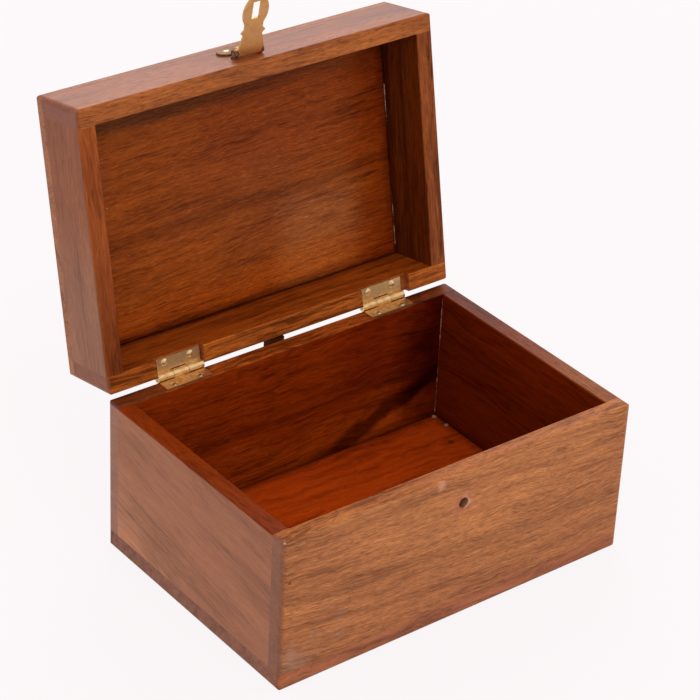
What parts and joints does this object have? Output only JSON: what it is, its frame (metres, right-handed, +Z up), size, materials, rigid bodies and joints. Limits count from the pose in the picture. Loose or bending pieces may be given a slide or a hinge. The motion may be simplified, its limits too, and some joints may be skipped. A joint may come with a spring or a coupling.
{
  "type": "wooden money box",
  "caption": "Rectangular hinged wooden money box with an open base, a recessed lid on brass butt hinges and a brass swinging hasp on the lid front.",
  "frame": {"origin": "centre of the underside of the base, on the surface that the box stands on", "axes": "+X to the right as seen from the front, +Y towards the hinged back, +Z up; the front face with the staple hole looks along -Y"},
  "size_m": [0.2, 0.1953, 0.2481],
  "materials": {
    "base_walls": "semi-gloss lacquer over mid brown sheesham-like wood with fine wavy grain",
    "bottom_board": "semi-gloss lacquer over redder, darker wood",
    "lid_rails": "semi-gloss lacquer over mid brown wood, grain along each rail",
    "lid_panel": "semi-gloss lacquer over orange-brown wood with long grain from left to right",
    "hinge_brass": "stamped sheet brass, lightly tarnished",
    "hasp_brass": "stamped sheet brass, warm and softly polished",
    "brass_screws": "small slotted brass screws, bright heads",
    "steel_pins": "plain drawn steel wire"
  },
  "bodies": {
    "base": {"base_bottom": "bottom_board", "base_front_board": "base_walls", "base_back_board": "base_walls", "base_left_board": "base_walls", "base_right_board": "base_walls", "base_front_pins": "steel_pins", "base_back_pins": "steel_pins", "base_bottom_pins": "steel_pins", "lid_stop_block": "bottom_board", "left_hinge_base_leaf": "hinge_brass", "right_hinge_base_leaf": "hinge_brass", "left_hinge_pin": "steel_pins", "right_hinge_pin": "steel_pins", "left_hinge_base_screws": "brass_screws", "right_hinge_base_screws": "brass_screws"},
    "lid": {"lid_top_panel": "lid_panel", "lid_front_rail": "lid_rails", "lid_back_rail": "lid_rails", "lid_left_rail": "lid_rails", "lid_right_rail": "lid_rails", "lid_front_pins": "steel_pins", "lid_back_pins": "steel_pins", "lid_panel_pins": "steel_pins", "left_hinge_lid_leaf": "hinge_brass", "right_hinge_lid_leaf": "hinge_brass", "left_hinge_lid_screws": "brass_screws", "right_hinge_lid_screws": "brass_screws", "hasp_plate": "hasp_brass", "hasp_plate_screws": "brass_screws", "hasp_pin": "steel_pins"},
    "hasp": {"hasp_strap": "hasp_brass"}
  },
  "joints": [
    {"name": "lid_hinge", "type": "hinge", "parent": "base", "child": "lid", "pos_m": [0, 0.0688, 0.0814], "axis": [1, 0, 0], "range_deg": [0, 100.9]},
    {"name": "hasp_swing", "type": "hinge", "parent": "lid", "child": "hasp", "pos_m": [-0.0008, 0.10276, 0.21702], "axis": [1, 0, 0], "range_deg": [-111, 69]}
  ]
}
